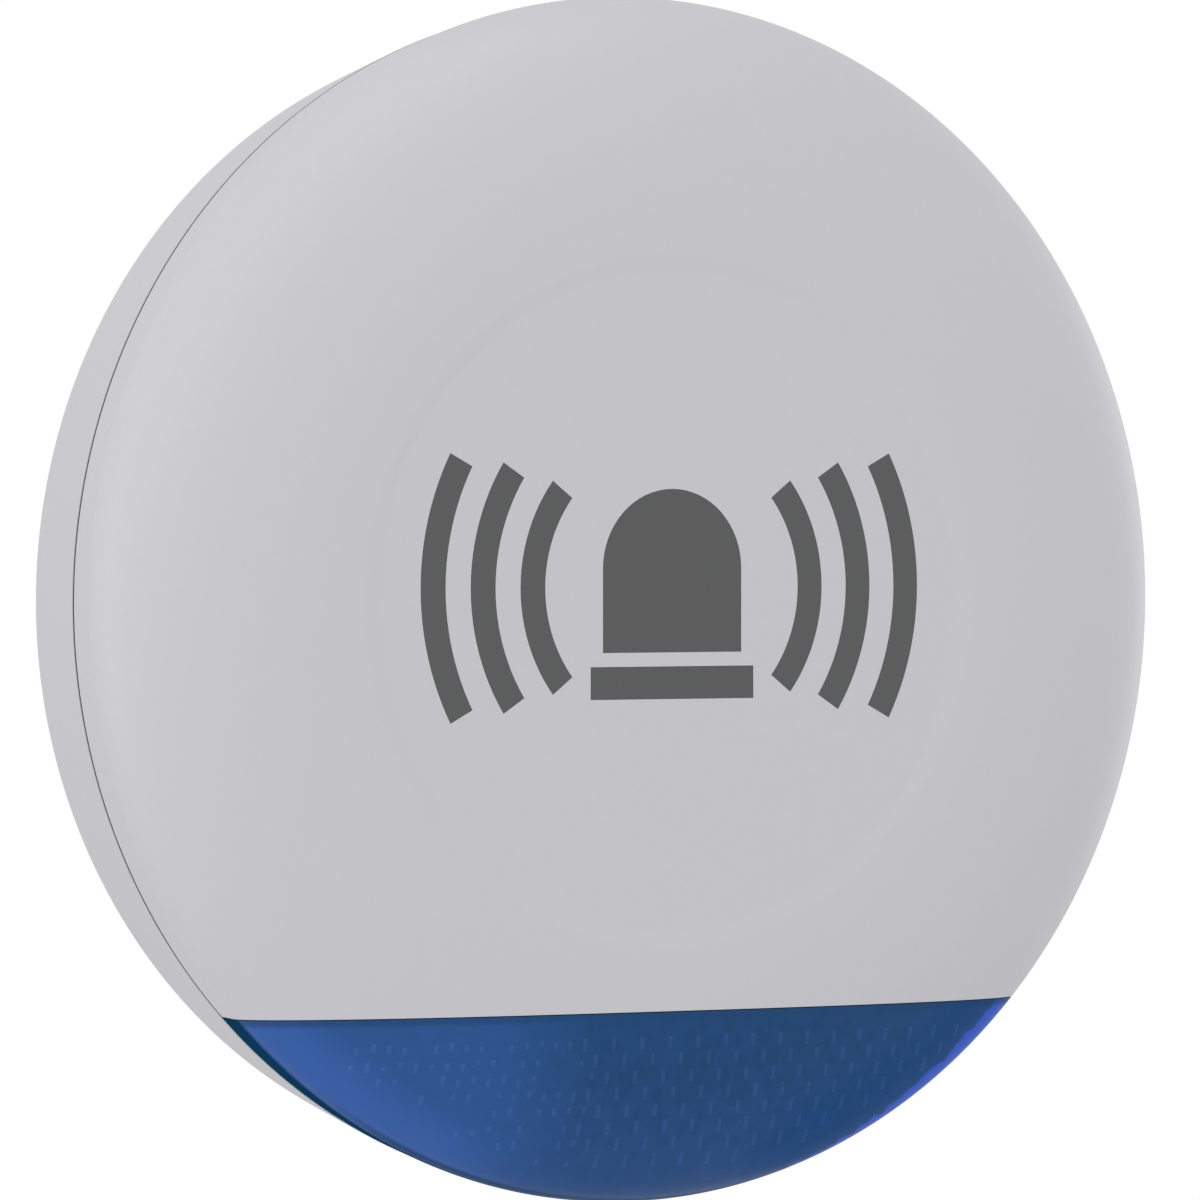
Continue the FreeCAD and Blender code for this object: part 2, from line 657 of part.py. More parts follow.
def build_nodes():
    """Every node by name."""
    return {
        "rear_housing": rear_housing(),
        "cable_grommet": cable_grommet(),
        "perimeter_gasket": perimeter_gasket(),
        "level_vial": level_vial(),
        "hinge_pin": rod_x(-KNUCKLE_OUT, KNUCKLE_OUT, PIN_R, HINGE_D, HINGE_Z),
        "front_cover": front_cover(),
        "strobe_lens": strobe_lens(),
        "lens_screws": lens_screws(),
        "front_emblem": group(emblem_pieces(56.8, 57.05)),
        "horn_body": horn_body(),
        "piezo_disc": rod_d(HORN_X, HORN_Z, 27.4, 22.6, 23.2),
        "piezo_ceramic": rod_d(HORN_X, HORN_Z, 18.0, 23.2, 23.7),
        "horn_cap": horn_cap(),
        "horn_screws": horn_screws(),
        "main_board": main_board(),
        "main_board_screws": board_screws(),
        "controller_chip": box(40, 52, BOARD_TOP, BOARD_TOP + 1.5, -34, -22),
        "radio_module": radio_module(),
        "antenna": antenna(),
        "transformer_core": transformer_core(),
        "transformer_coil": transformer_coil(),
        "capacitors": capacitors(),
        "terminal_block": terminal_block(),
        "terminal_screws": terminal_screws(),
        "led_board": led_board(),
        "led_board_screws": led_board_screws(),
        "strobe_leds": strobe_leds(),
        "strobe_reflector": strobe_reflector(),
        "battery_tray": battery_tray(),
        "battery_cells": battery_cells(),
        "battery_springs": battery_springs(),
        "battery_contacts": battery_contacts(),
        "front_tamper_body": front_tamper_body(),
        "front_tamper_plunger": front_tamper_plunger(),
        "rear_tamper_body": rear_tamper_body(),
        "rear_tamper_plunger": rear_tamper_plunger(),
        "button_body": button_body(),
        "button_cap": button_cap(),
        "power_switch_body": power_switch_body(),
        "power_switch_knob": power_switch_knob(),
        "cover_screw": cover_screw(),
        "cover_screw_insert": cover_screw_insert(),
        "horn_leads": horn_leads(),
        "strobe_wires": strobe_wires(),
        "battery_lead_red": battery_lead(34.5),
        "battery_lead_black": battery_lead(39.5),
    }


os.makedirs("parts", exist_ok=True)
for name, shape in build_nodes().items():
    shape.exportStep("parts/" + name + ".step")
    print(name, len(shape.Solids), round(shape.Volume, 1), shape.isValid())
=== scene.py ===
import json
import math
import random

import bmesh
import bpy
from mathutils import Matrix, Vector


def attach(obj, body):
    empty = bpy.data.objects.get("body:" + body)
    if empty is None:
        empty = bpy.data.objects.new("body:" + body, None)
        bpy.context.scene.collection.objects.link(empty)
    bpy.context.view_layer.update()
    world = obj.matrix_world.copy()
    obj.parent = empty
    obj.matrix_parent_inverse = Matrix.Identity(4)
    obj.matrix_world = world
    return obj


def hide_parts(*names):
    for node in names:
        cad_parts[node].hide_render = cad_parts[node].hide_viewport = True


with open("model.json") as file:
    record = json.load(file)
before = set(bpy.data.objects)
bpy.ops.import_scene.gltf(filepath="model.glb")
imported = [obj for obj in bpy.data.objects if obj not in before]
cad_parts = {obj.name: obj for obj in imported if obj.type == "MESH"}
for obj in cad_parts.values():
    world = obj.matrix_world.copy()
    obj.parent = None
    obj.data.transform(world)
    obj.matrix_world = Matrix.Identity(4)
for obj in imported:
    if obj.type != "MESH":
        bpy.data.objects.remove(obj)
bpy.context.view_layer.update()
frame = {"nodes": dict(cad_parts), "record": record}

MM = 0.001

# Outline of the siren, in mm: radius from the centre line and depth from the wall
SHOULDER_R, SHOULDER_D = 129.95, 38.3
BACK_R = 123.7
SEAM_R, SEAM_D, SEAM_GAP = 128.6, 28.2, 0.3
FRONT_D = 57.3
RING_R = 76.0
DISH_R, DISH_EDGE, DISH_DEPTH = 74.6, 4.4, 0.3
WALL, BACK_WALL = 2.6, 3.0
CHORD_Z, LENS_GAP, LENS_REAR_D, LENS_WALL = -87.9, 0.2, 32.0, 3.0
WEB, WEB_REAR_D, SKIRT_R = 2.4, 36.0, 127.0
REBATE, REBATE_D = 0.7, 0.5
HINGE_Z, HINGE_D, PIN_R, KNUCKLE_R = 124.9, 28.35, 1.25, 2.9
KNUCKLE_IN, KNUCKLE_OUT, COVER_KNUCKLE, COVER_BORE_R = 6.4, 13.0, 6.0, 1.31
LATCH_D = 18.0
HORN_X, HORN_Z, HORN_EAR_R, HORN_LID_D = -44.0, -30.0, 36.0, 31.95
BOARD_TOP = 13.6
TURN_STEPS = 360

# How much of the usual rounding the edges at the seam get
SEAM_SHARE = 0.15


def at(x, depth, z):
    """A point in metres from x, depth from the wall and z in mm."""
    return Vector((x * MM, -depth * MM, z * MM))


def smooth(t):
    """Eases from 0 to 1 with level ends."""
    return t * t * (3 - 2 * t)


# ---------------------------------------------------------------- mesh helpers

def new_object(name, bm, sharp=35):
    """A mesh object from a bmesh, smooth where the faces meet at under sharp degrees."""
    bmesh.ops.recalc_face_normals(bm, faces=bm.faces)
    mesh = bpy.data.meshes.new(name)
    bm.to_mesh(mesh)
    bm.free()
    obj = bpy.data.objects.new(name, mesh)
    bpy.context.scene.collection.objects.link(obj)
    set_smooth(obj, sharp)
    return obj


def set_smooth(obj, sharp=35):
    """Smooth shading with sharp edges above an angle."""
    for face in obj.data.polygons:
        face.use_smooth = True
    obj.data.set_sharp_from_angle(angle=math.radians(sharp))


def add_turned(bm, profile, steps=TURN_STEPS):
    """Adds a closed (radius, depth) profile turned about the centre line."""
    rings = []
    for r, d in profile:
        if r < 1e-6:
            rings.append([bm.verts.new(at(0, d, 0))])
            continue
        ring = []
        for i in range(steps):
            a = 2 * math.pi * (i + 0.5) / steps
            ring.append(bm.verts.new(at(r * math.cos(a), d, r * math.sin(a))))
        rings.append(ring)
    for a, b in zip(rings, rings[1:] + rings[:1]):
        for i in range(steps):
            j = (i + 1) % steps
            if len(a) == 1 and len(b) == 1:
                break
            if len(a) == 1:
                bm.faces.new((a[0], b[i], b[j]))
            elif len(b) == 1:
                bm.faces.new((a[i], b[0], a[j]))
            else:
                bm.faces.new((a[i], b[i], b[j], a[j]))


def add_block(bm, x0, x1, d0, d1, z0, z1):
    """Adds a block from its spans."""
    corners = [bm.verts.new(at(x, d, z)) for x in (x0, x1) for d in (d0, d1) for z in (z0, z1)]
    for a, b, c, d in ((0, 1, 3, 2), (4, 6, 7, 5), (0, 4, 5, 1), (2, 3, 7, 6), (0, 2, 6, 4),
                       (1, 5, 7, 3)):
        bm.faces.new((corners[a], corners[b], corners[c], corners[d]))


def add_lathe(bm, base, direction, profile, steps=48):
    """Adds a (radius, height) profile turned about any axis from a base point in metres."""
    turn = Vector((0, 0, 1)).rotation_difference(Vector(direction)).to_matrix()
    rings = []
    for r, h in profile:
        if r < 1e-6:
            rings.append([bm.verts.new(base + turn @ Vector((0, 0, h * MM)))])
            continue
        ring = []
        for i in range(steps):
            a = 2 * math.pi * (i + 0.5) / steps
            spot = Vector((r * math.cos(a) * MM, r * math.sin(a) * MM, h * MM))
            ring.append(bm.verts.new(base + turn @ spot))
        rings.append(ring)
    for a, b in zip(rings, rings[1:]):
        for i in range(steps):
            j = (i + 1) % steps
            if len(a) == 1:
                bm.faces.new((a[0], b[i], b[j]))
            elif len(b) == 1:
                bm.faces.new((a[i], b[0], a[j]))
            else:
                bm.faces.new((a[i], b[i], b[j], a[j]))


def disc_profile(r, h0, h1, edge=0.3):
    """A solid cylinder's profile with rounded rims."""
    points = [(0, h0), (r - edge, h0)]
    for i in range(1, 5):
        a = math.radians(90 * i / 4)
        points.append((r - edge + edge * math.sin(a), h0 + edge - edge * math.cos(a)))
    for i in range(0, 5):
        a = math.radians(90 * i / 4)
        points.append((r - edge + edge * math.cos(a), h1 - edge + edge * math.sin(a)))
    points.append((0, h1))
    return points


def tube_profile(r_out, r_in, h0, h1, edge=0.25):
    """A tube's profile with eased rims, closed on itself."""
    return [(r_in, h0), (r_out - edge, h0), (r_out, h0 + edge), (r_out, h1 - edge),
            (r_out - edge, h1), (r_in + edge, h1), (r_in, h1 - edge), (r_in, h0)]


def boolean(obj, other, operation):
    """Applies a boolean with another object, which is then removed."""
    mod = obj.modifiers.new("cut", "BOOLEAN")
    mod.operation = operation
    mod.solver = "EXACT"
    mod.object = other
    bake_modifiers(obj)
    bpy.data.objects.remove(other)


def bake_modifiers(obj):
    """Turns the modified shape into the object's own mesh."""
    bpy.context.view_layer.update()
    graph = bpy.context.evaluated_depsgraph_get()
    mesh = bpy.data.meshes.new_from_object(obj.evaluated_get(graph))
    obj.modifiers.clear()
    obj.data = mesh


def soften(obj, width, segments=3, angle=40, seam=None):
    """Rounds the edges that are sharper than an angle, and those near the seam far less."""
    mod = obj.modifiers.new("round", "BEVEL")
    mod.width = width * MM
    mod.segments = segments
    mod.limit_method = "ANGLE"
    mod.angle_limit = math.radians(angle)
    mod.harden_normals = True
    if seam:
        mod.limit_method = "WEIGHT"
        bm = bmesh.new()
        bm.from_mesh(obj.data)
        layer = bm.edges.layers.float.new("bevel_weight_edge")
        for edge in bm.edges:
            if len(edge.link_faces) != 2 or edge.calc_face_angle(0) < math.radians(angle):
                continue
            low, high = sorted(-v.co.y / MM for v in edge.verts)
            near = seam[0] < low and high < seam[1]
            edge[layer] = SEAM_SHARE if near else 1.0
        bm.to_mesh(obj.data)
        bm.free()


def even_normals(obj):
    """Lets the large flat faces set the shading next to rounded edges."""
    mod = obj.modifiers.new("even", "WEIGHTED_NORMAL")
    mod.weight = 100
    mod.keep_sharp = True


def block_object(name, spans):
    """One object from several blocks."""
    bm = bmesh.new()
    for span in spans:
        add_block(bm, *span)
    return new_object(name, bm)


# ---------------------------------------------------------------- outlines

def cover_profile(inset, rear_d):
    """Points up the cover's outside moved in by inset, from the seam's rebate to the centre."""
    points = [(SEAM_R - inset, rear_d)]
    if inset == 0:
        points = [(SEAM_R - REBATE, rear_d), (SEAM_R - REBATE, rear_d + REBATE_D),
                  (SEAM_R, rear_d + REBATE_D + 0.02)]
    reach, rise = SHOULDER_R - RING_R - inset, FRONT_D - SHOULDER_D - inset
    for i in range(65):
        a = math.radians(90 * i / 64)
        points.append((RING_R + reach * math.cos(a), SHOULDER_D + rise * math.sin(a)))
    for i in range(9):
        t = i / 8
        points.append((DISH_R - DISH_EDGE * t, FRONT_D - inset - DISH_DEPTH * smooth(t)))
    points.append((0, FRONT_D - inset - DISH_DEPTH))
    return points


def cover_solid(name, inset, rear_d):
    """The whole space under the cover's face moved in by inset."""
    bm = bmesh.new()
    add_turned(bm, [(0, rear_d)] + cover_profile(inset, rear_d))
    return new_object(name, bm)


def cover_shell(name, thickness, rear_d):
    """The cover's skin of a given thickness over the full circle."""
    bm = bmesh.new()
    inner = cover_profile(thickness, rear_d)
    add_turned(bm, cover_profile(0, rear_d) + inner[::-1])
    return new_object(name, bm)


# ---------------------------------------------------------------- materials

def node(tree, kind, **inputs):
    """A shader node with some of its sockets set."""
    made = tree.nodes.new(kind)
    for name, value in inputs.items():
        made.inputs[name.replace("_", " ")].default_value = value
    return made


def new_material(name, colour, roughness, metallic=0.0):
    """A principled material; colour is linear."""
    mat = bpy.data.materials.new(name)
    mat.use_nodes = True
    shader = mat.node_tree.nodes["Principled BSDF"]
    shader.inputs["Base Color"].default_value = (*colour, 1)
    shader.inputs["Roughness"].default_value = roughness
    shader.inputs["Metallic"].default_value = metallic
    mat.diffuse_color = (*colour, 1)
    return mat, mat.node_tree, shader


def grain(mat_parts, colour, spread, scale, bump, rough_spread=0.04):
    """Adds fine variation of colour, roughness and height to a material."""
    mat, tree, shader = mat_parts
    coords = tree.nodes.new("ShaderNodeTexCoord")
    noise = node(tree, "ShaderNodeTexNoise", Scale=scale, Detail=4.0, Roughness=0.6)
    tree.links.new(coords.outputs["Object"], noise.inputs["Vector"])
    tones = tree.nodes.new("ShaderNodeValToRGB")
    low = [c * (1 - spread) for c in colour]
    high = [min(1.0, c * (1 + spread)) for c in colour]
    tones.color_ramp.elements[0].position = 0.3
    tones.color_ramp.elements[1].position = 0.7
    tones.color_ramp.elements[0].color = (*low, 1)
    tones.color_ramp.elements[1].color = (*high, 1)
    tree.links.new(noise.outputs["Fac"], tones.inputs["Fac"])
    tree.links.new(tones.outputs["Color"], shader.inputs["Base Color"])
    rough = tree.nodes.new("ShaderNodeMapRange")
    base = shader.inputs["Roughness"].default_value
    rough.inputs["To Min"].default_value = base - rough_spread
    rough.inputs["To Max"].default_value = base + rough_spread
    tree.links.new(noise.outputs["Fac"], rough.inputs["Value"])
    tree.links.new(rough.outputs["Result"], shader.inputs["Roughness"])
    if bump:
        fine = node(tree, "ShaderNodeTexNoise", Scale=scale * 4, Detail=2.0, Roughness=0.5)
        tree.links.new(coords.outputs["Object"], fine.inputs["Vector"])
        height = node(tree, "ShaderNodeBump", Strength=bump, Distance=0.0001)
        tree.links.new(fine.outputs["Fac"], height.inputs["Height"])
        tree.links.new(height.outputs["Normal"], shader.inputs["Normal"])
    return mat


def plastic(name, colour, roughness=0.5, bump=0.15, scale=350.0, spread=0.015):
    """Fine-grained moulded plastic."""
    return grain(new_material(name, colour, roughness), colour, spread, scale, bump)


def metal(name, colour, roughness=0.3, scale=500.0):
    """Plated or bare metal with faint streaks."""
    return grain(new_material(name, colour, roughness, 1.0), colour, 0.05, scale, 0.05, 0.08)


COVER_GREY = (0.545, 0.540, 0.570)
LENS_BLUE = (0.006, 0.053, 0.158)
# Pale blue of the lens's random mottle, also used for its painted glow
LENS_MOTTLE_AND_GLOW = (0.030, 0.105, 0.370)
# Bright blue of the painted rim light along the lens's right rim
LENS_RIM_LIGHT = (0.030, 0.100, 0.560)
# Dark blue of the painted shade on the lens's side
LENS_SIDE_SHADE = (0.004, 0.042, 0.105)
# Paler blue of the prism ends, a painted glint
DASH_GLINT_BLUE = (0.013, 0.068, 0.205)
# Paler blue of the painted glow on the prism ends
DASH_GLOW = (0.042, 0.122, 0.430)
MARK_GREY = (0.081, 0.083, 0.082)


def ramp(tree, source, low, high, to_low=0.0, to_high=1.0):
    """Eases from one value to another while the source goes from low to high."""
    made = node(tree, "ShaderNodeMapRange", From_Min=low, From_Max=high, To_Min=to_low,
                To_Max=to_high)
    made.interpolation_type = "SMOOTHSTEP"
    tree.links.new(source, made.inputs["Value"])
    return made.outputs["Result"]


def maths(tree, operation, a, b):
    """A math node on a socket and a socket or number."""
    made = tree.nodes.new("ShaderNodeMath")
    made.operation = operation
    tree.links.new(a, made.inputs[0])
    if isinstance(b, (int, float)):
        made.inputs[1].default_value = b
    else:
        tree.links.new(b, made.inputs[1])
    return made.outputs["Value"]


def tinted(tree, base, colour, factor):
    """Mixes a colour over a base socket by a factor socket."""
    made = tree.nodes.new("ShaderNodeMix")
    made.data_type = "RGBA"
    tree.links.new(base, made.inputs["A"])
    made.inputs["B"].default_value = (*colour, 1)
    tree.links.new(factor, made.inputs["Factor"])
    return made.outputs["Result"]


# Spans of radius, x, y and z, in metres, over which the lens changes tone or shine: painted glow,
# painted rim light and painted shade
# Painted glow: paler towards the outer edge, to the left and on the left roll
OUTER_GLOW_R = (0.100, 0.130)
LEFT_GLOW_X = (-0.012, -0.046)
ROLL_GLOW_R, ROLL_GLOW_X = (0.117, 0.127), (-0.032, -0.054)
# Painted rim light: a bright, slanted, ragged strip along the right rim
RIM_LIGHT_R, RIM_LIGHT_X = (0.1337, 0.1340), (0.030, 0.045)
RIM_LIGHT_SLANT, RIM_LIGHT_RAGGED = 0.1, 0.0018
CHORD_BAND_Z = (-0.0902, -0.0888)
# Painted shade: on the side wall behind the shoulder, and along the lower outer edge
SIDE_SHADE_Y = (-0.0408, -0.0388)
UNDER_SHADE_R, UNDER_SHADE_LEFT_X, UNDER_SHADE_RIGHT_X = (0.1286, 0.1294), (-0.085, -0.055), (0.045, 0.020)
# Painted shade: less shine on the right of the roll, so it shows darker there
RIGHT_SHADE_R, RIGHT_SHADE_X = (0.105, 0.124), (0.005, 0.045)
FULL_COAT, FULL_SPECULAR = 0.18, 0.5


def lens_material(name, colour, pale):
    """Deep blue clear plastic with painted light: a painted pale glow to the left and towards the
    edge, a painted bright rim light on the right, painted shade on its side and along its lower
    edge, and less shine where shade is painted.
    """
    mat, tree, shader = new_material(name, colour, 0.35)
    shader.inputs["Coat Roughness"].default_value = 0.08
    shader.inputs["IOR"].default_value = 1.2
    coords = tree.nodes.new("ShaderNodeTexCoord")
    split = tree.nodes.new("ShaderNodeSeparateXYZ")
    tree.links.new(coords.outputs["Object"], split.inputs["Vector"])
    across = split.outputs["X"]
    flat = tree.nodes.new("ShaderNodeVectorMath")
    flat.operation = "MULTIPLY"
    flat.inputs[1].default_value = (1, 0, 1)
    tree.links.new(coords.outputs["Object"], flat.inputs[0])
    length = tree.nodes.new("ShaderNodeVectorMath")
    length.operation = "LENGTH"
    tree.links.new(flat.outputs["Vector"], length.inputs[0])
    radius = length.outputs["Value"]
    facets = node(tree, "ShaderNodeTexVoronoi", Scale=300.0)
    tree.links.new(coords.outputs["Object"], facets.inputs["Vector"])
    base = node(tree, "ShaderNodeRGB")
    base.outputs["Color"].default_value = (*colour, 1)
    mottle = ramp(tree, facets.outputs["Distance"], 0.1, 0.9, 0.0, 0.12)
    tone = tinted(tree, base.outputs["Color"], LENS_MOTTLE_AND_GLOW, mottle)
    # Painted glow: paler towards the outer edge, to the left and on the left roll, standing in for
    # light coming through the lens
    tone = tinted(tree, tone, pale, ramp(tree, radius, *OUTER_GLOW_R, 0.0, 0.22))
    tone = tinted(tree, tone, pale, ramp(tree, across, *LEFT_GLOW_X, 0.0, 0.45))
    roll_glow = maths(tree, "MULTIPLY", ramp(tree, radius, *ROLL_GLOW_R), ramp(tree, across, *ROLL_GLOW_X))
    tone = tinted(tree, tone, pale, roll_glow)
    # Painted rim light: a bright, slanted, ragged strip along the right rim
    slanted = maths(tree, "ADD", radius, maths(tree, "MULTIPLY", across, RIM_LIGHT_SLANT))
    ragged = maths(tree, "MULTIPLY", facets.outputs["Distance"], RIM_LIGHT_RAGGED)
    rim_light = ramp(tree, maths(tree, "ADD", slanted, ragged), *RIM_LIGHT_R)
    rim_light = maths(tree, "MULTIPLY", rim_light, ramp(tree, across, *RIM_LIGHT_X))
    tone = tinted(tree, tone, LENS_RIM_LIGHT, rim_light)
    tone = tinted(tree, tone, colour, ramp(tree, split.outputs["Z"], *CHORD_BAND_Z, 0.0, 0.7))
    # Painted shade: darker, with less shine, on the side wall and along the lower outer edge
    under = maths(tree, "MULTIPLY", ramp(tree, radius, *UNDER_SHADE_R, 0.0, 0.7),
                  ramp(tree, across, *UNDER_SHADE_LEFT_X))
    under = maths(tree, "MULTIPLY", under, ramp(tree, across, *UNDER_SHADE_RIGHT_X))
    side = maths(tree, "MAXIMUM", ramp(tree, split.outputs["Y"], *SIDE_SHADE_Y), under)
    tone = tinted(tree, tone, LENS_SIDE_SHADE, side)
    tree.links.new(tone, shader.inputs["Base Color"])
    # Painted shade: less shine on the right of the roll, so it shows darker there
    right_shade = maths(tree, "MULTIPLY", ramp(tree, radius, *RIGHT_SHADE_R), ramp(tree, across, *RIGHT_SHADE_X))
    gloss = maths(tree, "MULTIPLY", ramp(tree, side, 0.0, 1.0, 1.0, 0.0),
                  ramp(tree, right_shade, 0.0, 1.0, 1.0, 0.3))
    coat = maths(tree, "MULTIPLY", gloss, FULL_COAT)
    tree.links.new(coat, shader.inputs["Coat Weight"])
    specular = maths(tree, "MULTIPLY", gloss, FULL_SPECULAR)
    tree.links.new(specular, shader.inputs["Specular IOR Level"])
    return mat


def board_material(name, colour, track):
    """Solder-masked circuit board with paler copper tracks showing through."""
    mat, tree, shader = new_material(name, colour, 0.3)
    coords = tree.nodes.new("ShaderNodeTexCoord")
    split = tree.nodes.new("ShaderNodeSeparateXYZ")
    tree.links.new(coords.outputs["Object"], split.inputs["Vector"])
    flat = tree.nodes.new("ShaderNodeCombineXYZ")
    tree.links.new(split.outputs["X"], flat.inputs["X"])
    tree.links.new(split.outputs["Z"], flat.inputs["Y"])
    tracks = node(tree, "ShaderNodeTexBrick", Scale=110.0, Mortar_Size=0.03, Brick_Width=0.9,
                  Row_Height=0.16)
    tree.links.new(flat.outputs["Vector"], tracks.inputs["Vector"])
    line = tracks.outputs["Fac"]
    noise = node(tree, "ShaderNodeTexNoise", Scale=70.0, Detail=1.0)
    tree.links.new(coords.outputs["Object"], noise.inputs["Vector"])
    where = ramp(tree, noise.outputs["Fac"], 0.45, 0.5)
    base = node(tree, "ShaderNodeRGB")
    base.outputs["Color"].default_value = (*colour, 1)
    tone = tinted(tree, base.outputs["Color"], track, maths(tree, "MULTIPLY", line, where))
    tree.links.new(tone, shader.inputs["Base Color"])
    height = node(tree, "ShaderNodeBump", Strength=0.3, Distance=0.0001)
    tree.links.new(line, height.inputs["Height"])
    tree.links.new(height.outputs["Normal"], shader.inputs["Normal"])
    return mat


MATERIALS = {
    "housing_plastic": plastic("housing_plastic", COVER_GREY, 0.5, 0.12, 350.0, 0.006),
    "cover_plastic": plastic("cover_plastic", COVER_GREY, 0.45, 0.12, 350.0, 0.006),
    "lens_blue": lens_material("lens_blue", LENS_BLUE, LENS_MOTTLE_AND_GLOW),
    "lens_dash": lens_material("lens_dash", DASH_GLINT_BLUE, DASH_GLOW),
    "mark_grey": plastic("mark_grey", MARK_GREY, 0.55, 0.1),
    "rubber_black": plastic("rubber_black", (0.02, 0.02, 0.021), 0.75, 0.3, 500.0, 0.1),
    "vial_clear": plastic("vial_clear", (0.45, 0.75, 0.10), 0.08, 0.0, 30.0, 0.1),
    "steel": metal("steel", (0.55, 0.55, 0.56), 0.28),
    "black_plastic": plastic("black_plastic", (0.022, 0.022, 0.024), 0.45, 0.2),
    "white_plastic": plastic("white_plastic", (0.75, 0.75, 0.73), 0.4),
    "brass": metal("brass", (0.72, 0.50, 0.20), 0.3),
    "ceramic_white": plastic("ceramic_white", (0.72, 0.70, 0.64), 0.6),
    "board_green": board_material("board_green", (0.010, 0.10, 0.038), (0.018, 0.17, 0.065)),
    "board_white": plastic("board_white", (0.72, 0.72, 0.72), 0.35, 0.05),
    "led_yellow": plastic("led_yellow", (0.80, 0.58, 0.08), 0.25, 0.0),
    "reflector_chrome": metal("reflector_chrome", (0.82, 0.82, 0.84), 0.12),
    "ferrite": plastic("ferrite", (0.035, 0.035, 0.037), 0.6, 0.4, 600.0, 0.15),
    "copper": metal("copper", (0.60, 0.23, 0.09), 0.3),
    "can_aluminium": metal("can_aluminium", (0.68, 0.68, 0.70), 0.3),
    "terminal_green": plastic("terminal_green", (0.03, 0.26, 0.10), 0.42),
    "cell_jacket": plastic("cell_jacket", (0.018, 0.020, 0.027), 0.22, 0.0, 60.0, 0.05),
    "cell_stripe": plastic("cell_stripe", (0.42, 0.43, 0.45), 0.25, 0.0, 60.0, 0.05),
    "lead_black": plastic("lead_black", (0.02, 0.02, 0.02), 0.4, 0.05),
    "lead_red": plastic("lead_red", (0.45, 0.015, 0.012), 0.4, 0.05),
}


def finish_piece(obj, body, slot, nodes=(), material=None):
    """Gives a piece its material, picked by slot unless another is named, and its body, and hides
    the CAD nodes it stands for.
    """
    obj.data.materials.clear()
    obj.data.materials.append(MATERIALS[material or slot])
    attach(obj, body)
    if nodes:
        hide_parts(*nodes)


# ---------------------------------------------------------------- the cover

MARK_Z, MARK_POCKET_D, MARK_REAR_D, MARK_FRONT_D = 3.0, 56.7, 56.75, 56.95
# Inner radius in mm and half angle in degrees of each sound wave
WAVES = ((31.0, 38.0), (43.0, 33.0), (55.0, 28.0))
WAVE_WIDTH = 6.0


def emblem_outlines():
    """Closed (x, z) outlines of the beacon and the sound waves on the face."""
    z = MARK_Z
    dome = [(-17, z - 14), (17, z - 14)]
    for i in range(33):
        a = math.pi * i / 32
        dome.append((17 * math.cos(a), z + 4 + 17 * math.sin(a)))
    outlines = [dome, [(-20, z - 24), (20, z - 24), (20, z - 17), (-20, z - 17)]]
    for r, half in WAVES:
        for side in (-1, 1):
            band = []
            for radius, order in ((r, range(25)), (r + WAVE_WIDTH, range(24, -1, -1))):
                for i in order:
                    a = math.radians(-half + 2 * half * i / 24)
                    band.append((side * radius * math.cos(a), z + radius * math.sin(a)))
            outlines.append(band)
    return outlines


def prisms(name, outlines, d0, d1):
    """One object of straight prisms over (x, z) outlines."""
    bm = bmesh.new()
    for outline in outlines:
        low = [bm.verts.new(at(x, d0, z)) for x, z in outline]
        high = [bm.verts.new(at(x, d1, z)) for x, z in outline]
        bm.faces.new(low)
        bm.faces.new(high[::-1])
        for i in range(len(outline)):
            j = (i + 1) % len(outline)
            bm.faces.new((low[i], high[i], high[j], low[j]))
    return new_object(name, bm)


def make_cover():
    """The cover's skin, open for the lens, with room at the hinge and pockets for the mark."""
    rear = SEAM_D + SEAM_GAP
    cover = cover_shell("front_cover_skin", WALL, rear)
    boolean(cover, block_object("cut", [(-140, 140, LENS_REAR_D, 70, -140, CHORD_Z)]),
            "DIFFERENCE")
    bm = bmesh.new()
    room_r, room_d = SKIRT_R - 0.3, LENS_REAR_D + 0.5
    add_turned(bm, [(room_r, 27.0), (140, 27.0), (140, room_d), (room_r, room_d)])
    skirt_room = new_object("room", bm)
    boolean(skirt_room, block_object("cut", [(-150, 150, 20, 40, -150, CHORD_Z)]), "INTERSECT")
    boolean(cover, skirt_room, "DIFFERENCE")
    pockets = prisms("cut", emblem_outlines(), MARK_POCKET_D, FRONT_D + 0.7)
    boolean(cover, pockets, "DIFFERENCE")
    bm = bmesh.new()
    r = KNUCKLE_R + 0.4
    for side in (-1, 1):
        x0, x1 = sorted((side * (KNUCKLE_IN - 0.35), side * (KNUCKLE_OUT + 0.4)))
        add_lathe(bm, at(x0, HINGE_D, HINGE_Z), (1, 0, 0),
                  [(0, 0), (r, 0), (r, x1 - x0), (0, x1 - x0)])
    boolean(cover, new_object("cut", bm), "DIFFERENCE")
    bm = bmesh.new()
    span = 2 * COVER_KNUCKLE + 0.4
    add_lathe(bm, at(-COVER_KNUCKLE - 0.2, HINGE_D, HINGE_Z), (1, 0, 0),
              [(0, 0), (COVER_BORE_R, 0), (COVER_BORE_R, span), (0, span)])
    boolean(cover, new_object("cut", bm), "DIFFERENCE")
    soften(cover, 0.3, seam=(SEAM_D, SEAM_D + 1.0))
    set_smooth(cover, 30)
    finish_piece(cover, "cover", "cover_plastic", ["front_cover"])


